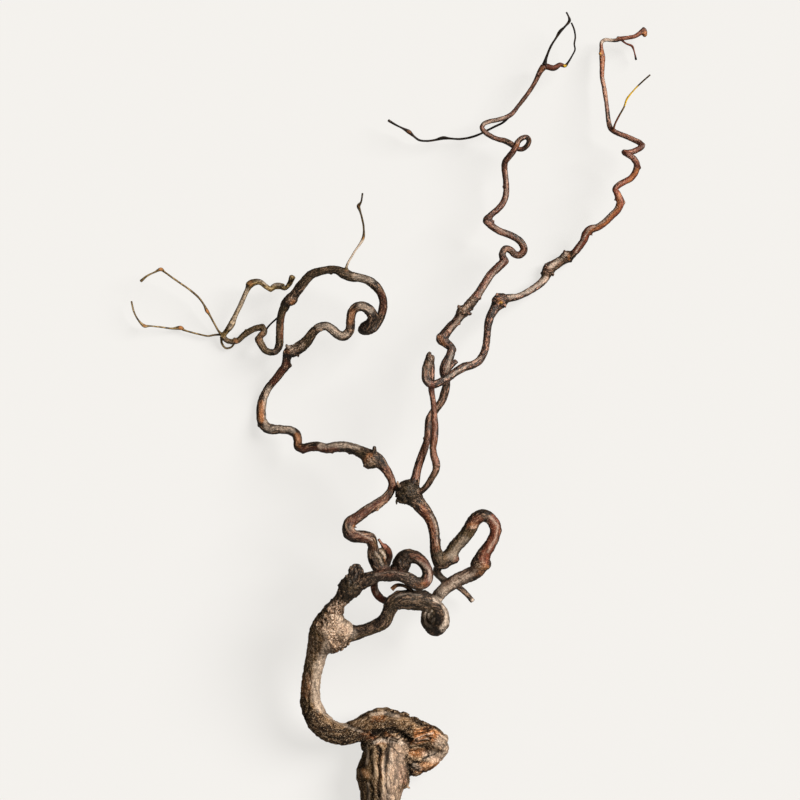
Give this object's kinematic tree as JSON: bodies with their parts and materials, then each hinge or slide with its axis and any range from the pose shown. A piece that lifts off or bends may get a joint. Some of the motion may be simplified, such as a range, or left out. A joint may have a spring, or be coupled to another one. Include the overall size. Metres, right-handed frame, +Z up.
{
  "type": "dried contorted jujube branch",
  "caption": "Dried, bare, contorted jujube branch with a thick cut butt end and winding forked limbs, lying down, for display or arranging.",
  "frame": {"origin": "on the flat spot under the thick butt end that the branch rests on", "axes": "+Z up from the floor, +Y along the branch from the cut end to the tips, +X to its right as seen from above"},
  "size_m": [0.5137, 0.8091, 0.1104],
  "materials": {
    "bark": "rough fissured bark, dark brown with grey-tan and orange-tan patches",
    "brown_wood": "matt dark brown bark with pinkish and tan worn streaks",
    "red_wood": "smoother reddish-brown bark with a weak sheen",
    "olive_twig": "matt olive-brown twig bark with orange-tan nodes",
    "dark_twig": "matt dark brown twig bark"
  },
  "bodies": {
    "root": {"trunk": "bark", "left_limb": "brown_wood", "right_limb": "brown_wood", "middle_limb": "red_wood", "outer_limb": "red_wood", "red_shoot": "red_wood", "short_shoot": "brown_wood", "arch_twig": "olive_twig", "hidden_twig": "dark_twig", "left_end_shoot": "olive_twig", "upper_left_twig": "olive_twig", "lower_left_twig": "olive_twig", "left_hook_twig": "olive_twig", "crossing_twig": "dark_twig", "top_twig": "dark_twig", "top_side_twig": "dark_twig", "yellow_twig": "olive_twig", "end_twiglet": "dark_twig"}
  },
  "joints": []
}
